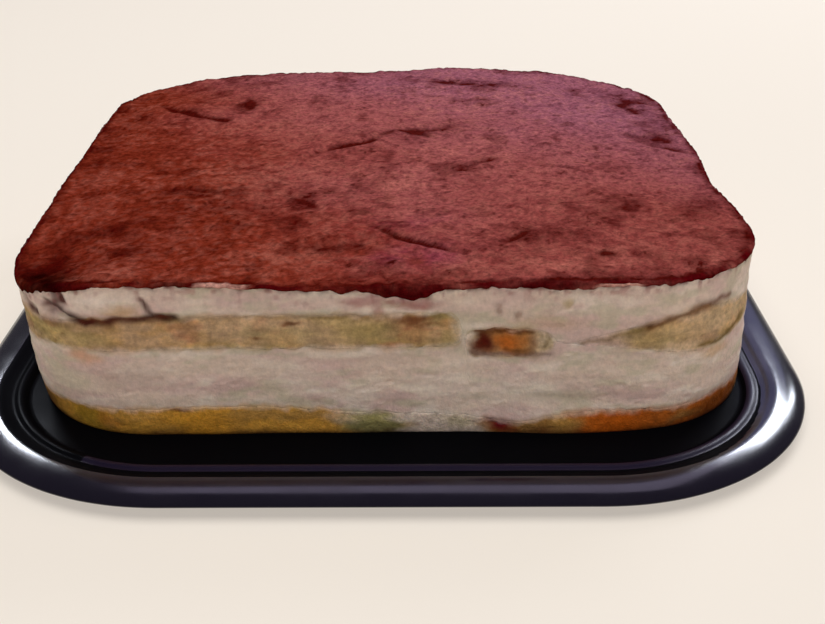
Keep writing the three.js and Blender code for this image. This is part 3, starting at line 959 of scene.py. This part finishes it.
def upper_cream_colours(points, s):
    """The upper cream's colours, with cocoa dust and specks under the rim."""
    colours = with_fingers(cream_at(points, s), points, s, height_over(MIDDLE_EDGE, points, s))
    colours = marked(colours, points, s)
    under_hem = np.clip(-height_over(HEM, points, s), 0, None)
    dust = layered_noise(points, 2.2, 3, seed=131)
    dusted = np.clip(0.5 + 0.9 * dust, 0, 1) * np.exp(-under_hem / 0.9)
    specks = np.clip(2.6 * (noise(points, (1.6, 1.6, 2.2), seed=133) - 0.36), 0, 0.8)
    colours = tinted(colours, COCOA, 0.8 * specks * np.exp(-under_hem / 3.5))
    return tinted(colours, COCOA_DARK, 0.9 * dusted)


def cocoa_with_painted_light_at(points):
    """The cocoa's tones: warmer to the left, partly painted shade; cooler to the back and right, a
    painted sheen.
    """
    drift = 22 * layered_noise(points, 46, 3, seed=140)
    x, y = points[:, 0], points[:, 1]
    colours = np.tile(COCOA, (len(points), 1))
    # Warmer and darker to the left: the cocoa's own tone with painted shade.
    colours = tinted(colours, COCOA_WARM, smoothstep(drift - x - 0.35 * y, -10, 90))
    colours = tinted(colours, COCOA_WARM, 0.45 * smoothstep(0.7 * x - y - drift, 40, 150))
    # Painted sheen: a lilac haze towards the back and the right, where the window's light grazes
    # the powder.
    return tinted(colours, COCOA_SHEEN_LILAC, 0.9 * smoothstep(drift + 0.8 * x + y, 10, 150))


def places_at(points, places):
    """How strongly a list of places covers each point of the top."""
    total = np.zeros(len(points))
    for *place, strength in places:
        across, along = across_and_along(points[:, 0], points[:, 1], *place)
        total += strength * np.exp(-along * along - across * across)
    return total


def rim_colours(points, colours, tone, rings):
    """The colours of the cocoa's rim: its dark, partly moist cocoa and partly painted shade, and
    its thin stretches.
    """
    colours = tinted(colours, COCOA_HEM, np.clip(0.5 + 0.5 * tone, 0.1, 0.9))
    shade = np.tile(np.clip(swells(S, HEM_SHADES), 0, 1), rings)
    thin = 0.3 * layered_noise(points, 3, 3, seed=153)
    for at, reach, strength, reached in HEM_GAPS:
        gap = strength * np.exp(-((past(S, at) / reach) ** 4))
        thin[: reached * COLUMNS] += np.tile(gap, reached)
    return tinted(colours * (1 - 0.5 * shade)[:, None], THIN_COCOA, smoothstep(thin, 0.3, 1.0))


def cocoa_colours(points, creases, net_ring, rim_rings):
    """The cocoa's colours: its grain, its dry and moist places, its creases and its rim, with
    painted sheen and shade.
    """
    first_net = rim_rings * COLUMNS
    on_rim, on_net = slice(0, first_net), slice(first_net, first_net + len(creases))
    tone = layered_noise(points, 22, 4, seed=141)
    uneven = 1 + 0.9 * layered_noise(points, 9, 4, seed=143)
    pale = 0.45 * places_at(points, DRY_PLACES) * uneven + 0.15 * tone
    grain = layered_noise(points, 2.6, 3, seed=155)
    mottle = layered_noise(points, 10, 3, seed=157)
    fine_grain = noise(points, 1.7, seed=159)
    pale = pale + 0.42 * grain + 0.16 * mottle + 0.22 * fine_grain
    colours = cocoa_with_painted_light_at(points)
    colours = tinted(colours, COCOA_PLUM, places_at(points, PLUM_PLACES) * uneven)
    colours = tinted(colours, COCOA_LIGHT, 0.4 * np.clip(0.1 + pale, 0, 1.2))
    colours = colours * (1 + 0.16 * pale)[:, None]
    colours = tinted(colours, COCOA_DARK, np.clip(-0.7 * pale - 0.04, 0, 0.6))

    dark = places_at(points, MOIST_PLACES) * uneven
    # The creases darken: partly moist cocoa, partly painted shade.
    dark[on_net] += np.clip(0.95 * creases, 0, 0.9) * np.clip(uneven[on_net], 0.4, 1.4)
    patches = layered_noise(points, 11, 4, seed=147)
    dark += np.clip(0.8 * patches - 0.16, 0, 0.5)
    specks = layered_noise(points, 1.8, 2, seed=149)
    dark += np.clip(1.1 * (specks - 0.5), 0, 0.5)
    rim_tone = layered_noise(points[on_rim], (8, 8, 5), 3, seed=151)
    # The rim is dark all round: partly moist cocoa, partly painted shade.
    dark[on_rim] = 0.7 + 0.5 * rim_tone
    # Painted shade along the top's outermost edge, where it turns down.
    dark[on_net] += 0.6 * smoothstep(net_ring / NET_RINGS, 0.98, 1.0) * uneven[on_net]
    colours = tinted(colours, COCOA_DARK, np.clip(dark, 0, 0.95))
    colours[on_rim] = rim_colours(points[on_rim], colours[on_rim], rim_tone, rim_rings)
    # Painted shade darkens the front left corner nearly to black.
    deep = np.clip(places_at(points, CORNER_SHADE_PLACES) * uneven, 0, 0.8)
    return colours * (1 - deep)[:, None]


# Materials


def new_material(name):
    material = bpy.data.materials.new(name)
    material.use_nodes = True
    tree = material.node_tree
    tree.nodes.clear()
    output = tree.nodes.new("ShaderNodeOutputMaterial")
    shader = tree.nodes.new("ShaderNodeBsdfPrincipled")
    tree.links.new(shader.outputs["BSDF"], output.inputs["Surface"])
    return material, tree, shader


def set_inputs(node, values):
    for name, value in values.items():
        node.inputs[name].default_value = value


def texture_noise(tree, per_metre, detail, roughness=0.5):
    place = tree.nodes.new("ShaderNodeTexCoord")
    texture = tree.nodes.new("ShaderNodeTexNoise")
    set_inputs(texture, {"Scale": per_metre, "Detail": detail, "Roughness": roughness})
    tree.links.new(place.outputs["Object"], texture.inputs["Vector"])
    return texture.outputs["Fac"]


def map_range(tree, value, low, high):
    """Spreads a noise texture's usual values, from 0.3 to 0.7, over another range."""
    node = tree.nodes.new("ShaderNodeMapRange")
    set_inputs(node, {"From Min": 0.3, "From Max": 0.7, "To Min": low, "To Max": high})
    tree.links.new(value, node.inputs["Value"])
    return node.outputs["Result"]


def bump(tree, shader, height, distance, strength=1.0):
    node = tree.nodes.new("ShaderNodeBump")
    set_inputs(node, {"Distance": distance, "Strength": strength})
    tree.links.new(height, node.inputs["Height"])
    tree.links.new(node.outputs["Normal"], shader.inputs["Normal"])


def food_material(name, grain, shade, roughness, bump_size, bump_depth, specular):
    """A matt food: its tint attribute, shaded by grain, with fine bumps."""
    material, tree, shader = new_material(name)
    tint = tree.nodes.new("ShaderNodeAttribute")
    tint.attribute_name = "tint"
    level = map_range(tree, texture_noise(tree, grain, 5, 0.65), *shade)
    scale = tree.nodes.new("ShaderNodeVectorMath")
    scale.operation = "SCALE"
    tree.links.new(tint.outputs["Color"], scale.inputs[0])
    tree.links.new(level, scale.inputs["Scale"])
    tree.links.new(scale.outputs["Vector"], shader.inputs["Base Color"])
    rough = map_range(tree, texture_noise(tree, grain * 0.4, 3), *roughness)
    tree.links.new(rough, shader.inputs["Roughness"])
    bump(tree, shader, texture_noise(tree, bump_size, 6, 0.6), bump_depth)
    set_inputs(shader, {"Specular IOR Level": specular})
    return material, shader


def let_light_in(shader, weight, radius, scale):
    set_inputs(shader, {"Subsurface Weight": weight, "Subsurface Radius": radius})
    set_inputs(shader, {"Subsurface Scale": scale})


def tray_material(name, colour, roughness, specular, coat):
    material, tree, shader = new_material(name)
    set_inputs(shader, {"Base Color": (*colour, 1), "Specular IOR Level": specular})
    set_inputs(shader, {"Coat Weight": coat, "Coat Roughness": 0.08})
    smudge = map_range(tree, texture_noise(tree, 60, 4), *roughness)
    tree.links.new(smudge, shader.inputs["Roughness"])
    bump(tree, shader, texture_noise(tree, 14, 2), 0.0008, 0.3)
    return material


cream_material, shader = food_material("set_cream", 500, (0.88, 1.1), (0.5, 0.7), 900, 0.0004, 0.3)
let_light_in(shader, 0.25, (1.0, 0.7, 0.45), 0.002)
crumb_material, shader = food_material(
    "soaked_crumb", 450, (0.7, 1.28), (0.7, 0.95), 1200, 0.0005, 0.2
)
let_light_in(shader, 0.15, (1.0, 0.6, 0.3), 0.0015)
base_material, shader = food_material(
    "baked_crumb", 500, (0.72, 1.22), (0.6, 0.9), 1200, 0.0006, 0.2
)
let_light_in(shader, 0.1, (1.0, 0.5, 0.2), 0.0015)
cocoa_material, _ = food_material("cocoa_powder", 650, (0.55, 1.5), (0.6, 0.75), 2000, 0.0007, 0)
rim_material = tray_material("black_gloss", (0.006, 0.004, 0.011), (0.14, 0.26), 0.5, 0.1)
well_material = tray_material("black_satin", (0.002, 0.002, 0.003), (0.3, 0.5), 0.01, 0.0)
# The bead's bluer base colour partly stands in for its faint highlight: a painted highlight.
bead_material = tray_material("black_bead", (0.009, 0.005, 0.018), (0.35, 0.5), 0.18, 0.0)
TRAY_MATERIALS = [rim_material, well_material, bead_material]
RIM_LOOK, WELL_LOOK, BEAD_LOOK = range(3)


# Tray


def smooth_through(knots, steps):
    """Points on a smooth curve through the knots, steps to each span."""
    knots = [np.array(knot, float) for knot in knots]
    ends = [2 * knots[0] - knots[1], *knots, 2 * knots[-1] - knots[-2]]
    curve = []
    for a, b, c, d in zip(ends, ends[1:], ends[2:], ends[3:]):
        for i in range(steps):
            t = i / steps
            curve.append(
                0.5 * (2 * b + (c - a) * t + (2 * a - 5 * b + 4 * c - d) * t**2)
                + 0.5 * (3 * b - a - 3 * c + d) * t**3
            )
    return curve + [knots[-1]]


def tray_ring(share, z):
    radius = max(SMALLEST_CORNER, mix(WELL_CORNER, TRAY_CORNER, share))
    half_x, half_y = (mix(WELL_HALF[k], TRAY_HALF[k], share) for k in (0, 1))
    plan = closed(rounded_plan(half_x, half_y, [radius] * 4))
    at = np.linspace(0, len(plan) - 1, TRAY_STEPS, endpoint=False)
    index = np.arange(len(plan))
    x, y = (np.interp(at, index, plan[:, k]) for k in (0, 1))
    return np.column_stack([x, y, np.full(TRAY_STEPS, z)])


def tray_looks(section):
    """Which of the tray's materials each face has, band by band and then the two fans."""
    looks = []
    for (share, z), (next_share, next_z) in zip(section, section[1:]):
        x = tray_ring(share, z)[:, 0]
        on_top = min(z, next_z) > TRAY_UPPER_Z
        outer = max(share, next_share)
        satin_share = mix(SATIN_SHARE, SATIN_SHARE_RIGHT, smoothstep(x, *SATIN_TURN_X))
        in_well = on_top & (outer < satin_share)
        on_bead = on_top & (min(share, next_share) > 0) & (outer < BEAD_SHARE) & (x > BEAD_LEFT)
        looks.append(np.select([on_bead, in_well], [BEAD_LOOK, WELL_LOOK], RIM_LOOK))
    return np.concatenate([*looks, np.repeat([RIM_LOOK, WELL_LOOK], TRAY_STEPS)])


def tray_piece():
    skin = Skin()
    upper_side = [tuple(place) for place in smooth_through(TRAY_RIM + TRAY_BEAD, 6)]
    section = TRAY_UNDER + upper_side + TRAY_FLOOR
    rings = [skin.add(tray_ring(share, z)) for share, z in section]
    for lower, upper in zip(rings, rings[1:]):
        skin.bridge(lower, upper)
    skin.fan(rings[0], (0, 0, TRAY_UNDER[0][1]), faces_up=False)
    skin.fan(rings[-1], (0, 0, FLOOR_Z), faces_up=True)
    obj = new_object("gloss_tray", np.vstack(skin.points), skin.faces)
    for material in TRAY_MATERIALS:
        obj.data.materials.append(material)
    obj.data.polygons.foreach_set("material_index", tray_looks(section))
    return obj


# The pieces, each with its colours and its place in the frame

foot = np.full(COLUMNS, FLOOR_Z + FOOT_LIFT)
cocoa = cocoa_piece()
base = layer_piece("base_sponge_crumb", "sponge", foot, BASE_EDGE, 16, base_colours)
lower = layer_piece("lower_cream_spread", "cream", BASE_EDGE, LOWER_EDGE, 48, lower_cream_colours)
middle = layer_piece(
    "middle_sponge_crumb", "sponge", LOWER_EDGE, MIDDLE_EDGE, 28, middle_colours, FINGER_OPEN
)
upper = layer_piece(
    "upper_cream_spread", "cream", MIDDLE_EDGE, HEM + 0.3, 24, upper_cream_colours, sunk=CREAM_SUNK
)
DRESS = [
    (tray_piece(), None, "tray", "tray"),
    (base, base_material, "base_sponge", "sponge"),
    (lower, cream_material, "lower_cream", "cream"),
    (middle, crumb_material, "middle_sponge", "soaked_sponge"),
    (upper, cream_material, "upper_cream", "cream"),
    (cocoa, cocoa_material, "cocoa", "cocoa"),
]
for obj, material, node, slot in DRESS:
    if material:
        obj.data.materials.append(material)
    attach(obj, "root")
    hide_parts(node)


# Floor, light and camera

FLOOR_HALF = 30000
FLOOR_CORNERS = np.array([(-1, -1, 0), (1, -1, 0), (1, 1, 0), (-1, 1, 0)])
# Half of the floor's paleness is its own glow, so its shadows stay soft.
FLOOR_GLOW = 0.5
floor = new_object("floor", FLOOR_HALF * FLOOR_CORNERS, [(0, 1, 2, 3)])
floor_material, _, shader = new_material("pale_floor")
set_inputs(shader, {"Base Color": (*(FLOOR_COLOUR * (1 - FLOOR_GLOW)), 1)})
set_inputs(shader, {"Roughness": 0.9, "Specular IOR Level": 0.1})
set_inputs(shader, {"Emission Color": (*FLOOR_COLOUR, 1), "Emission Strength": FLOOR_GLOW})
floor.data.materials.append(floor_material)

world = bpy.data.worlds.new("studio")
bpy.context.scene.world = world
world.use_nodes = True
sky = world.node_tree.nodes["Background"]
set_inputs(sky, {"Color": (0.9, 0.88, 1.0, 1), "Strength": 0.12})


def area_light(name, place, aim, size, watts, colour, seen_as):
    """A soft light at a place, aimed at another, for matt surfaces or for glossy ones."""
    data = bpy.data.lights.new(name, "AREA")
    data.shape = "RECTANGLE"
    data.size, data.size_y = size
    data.energy = watts
    data.color = colour
    light = bpy.data.objects.new(name, data)
    light.location = place
    light.rotation_euler = (Vector(aim) - Vector(place)).to_track_quat("-Z", "Y").to_euler()
    light.visible_camera = False
    light.visible_diffuse = "diffuse" in seen_as
    light.visible_glossy = "glossy" in seen_as
    bpy.context.scene.collection.objects.link(light)


def toward(start, azimuth, elevation, distance):
    """The place a distance away from another, by degrees round from +X and above level."""
    azimuth, elevation = math.radians(azimuth), math.radians(elevation)
    level = distance * math.cos(elevation)
    return (
        start[0] + level * math.cos(azimuth),
        start[1] + level * math.sin(azimuth),
        start[2] + distance * math.sin(elevation),
    )


# Places that the lights are aimed at, in metres, and the colour of a window's light.
CAKE_MIDDLE = (0, 0, 0.03)
RIGHT_CORNER = (0.13, -0.125, 0.008)
LEFT_CORNER = (-0.122, -0.13, 0.008)
RIGHT_SIDE = (0.14, -0.05, 0.01)
WINDOW = (0.85, 0.9, 1.0)
day_window = toward(CAKE_MIDDLE, 54, 32.5, 1.6)
right_window = toward(RIGHT_CORNER, 62, 34, 0.3)
low_pane = toward(RIGHT_CORNER, 54, 24, 0.3)
left_window = toward(LEFT_CORNER, 114, 31, 0.15)
ceiling = toward(CAKE_MIDDLE, 84, 55, 2.4)
side_panel = toward(RIGHT_SIDE, 82, 27, 0.75)
area_light("overhead", (0, 0.1, 2.0), CAKE_MIDDLE, (2.2, 2.2), 37, (1.0, 1.0, 0.97), "diffuse")
area_light("front", (0.1, -1.7, 0.6), CAKE_MIDDLE, (1.6, 0.8), 5, (1.0, 0.99, 0.96), "diffuse")
area_light("day_window", day_window, CAKE_MIDDLE, (0.6, 0.4), 8, WINDOW, "diffuse")
area_light("window_right", right_window, RIGHT_CORNER, (0.078, 0.066), 0.54, WINDOW, "glossy")
area_light("low_pane", low_pane, RIGHT_CORNER, (0.02, 0.052), 0.08, WINDOW, "glossy")
area_light("window_left", left_window, LEFT_CORNER, (0.024, 0.02), 0.12, WINDOW, "glossy")
area_light("ceiling", ceiling, CAKE_MIDDLE, (1.9, 1.75), 16, (0.8, 0.7, 1.0), "glossy")
area_light("side_panel", side_panel, RIGHT_SIDE, (0.6, 0.42), 0.5, (0.5, 0.5, 1.0), "glossy")


def add_camera():
    """The photograph's camera, from its place and its three turns."""
    down, rightward, roll = (math.radians(a) for a in (CAMERA_DOWN, CAMERA_RIGHTWARD, CAMERA_ROLL))
    ahead = Vector(
        (
            math.sin(rightward) * math.cos(down),
            math.cos(rightward) * math.cos(down),
            -math.sin(down),
        )
    )
    right = Vector((math.cos(rightward), -math.sin(rightward), 0))
    over = right.cross(ahead)
    right, over = (
        right * math.cos(roll) + over * math.sin(roll),
        over * math.cos(roll) - right * math.sin(roll),
    )
    data = bpy.data.cameras.new("camera")
    data.sensor_width = SENSOR
    data.lens = CAMERA_FOCAL * SENSOR / PHOTO_WIDTH
    data.clip_start = 0.01
    camera = bpy.data.objects.new("camera", data)
    turn = Matrix((right, over, -ahead)).transposed().to_4x4()
    camera.matrix_world = Matrix.Translation(Vector(CAMERA_PLACE) * MM) @ turn
    bpy.context.scene.collection.objects.link(camera)
    bpy.context.scene.camera = camera


add_camera()
bpy.context.scene.view_settings.view_transform = "Standard"
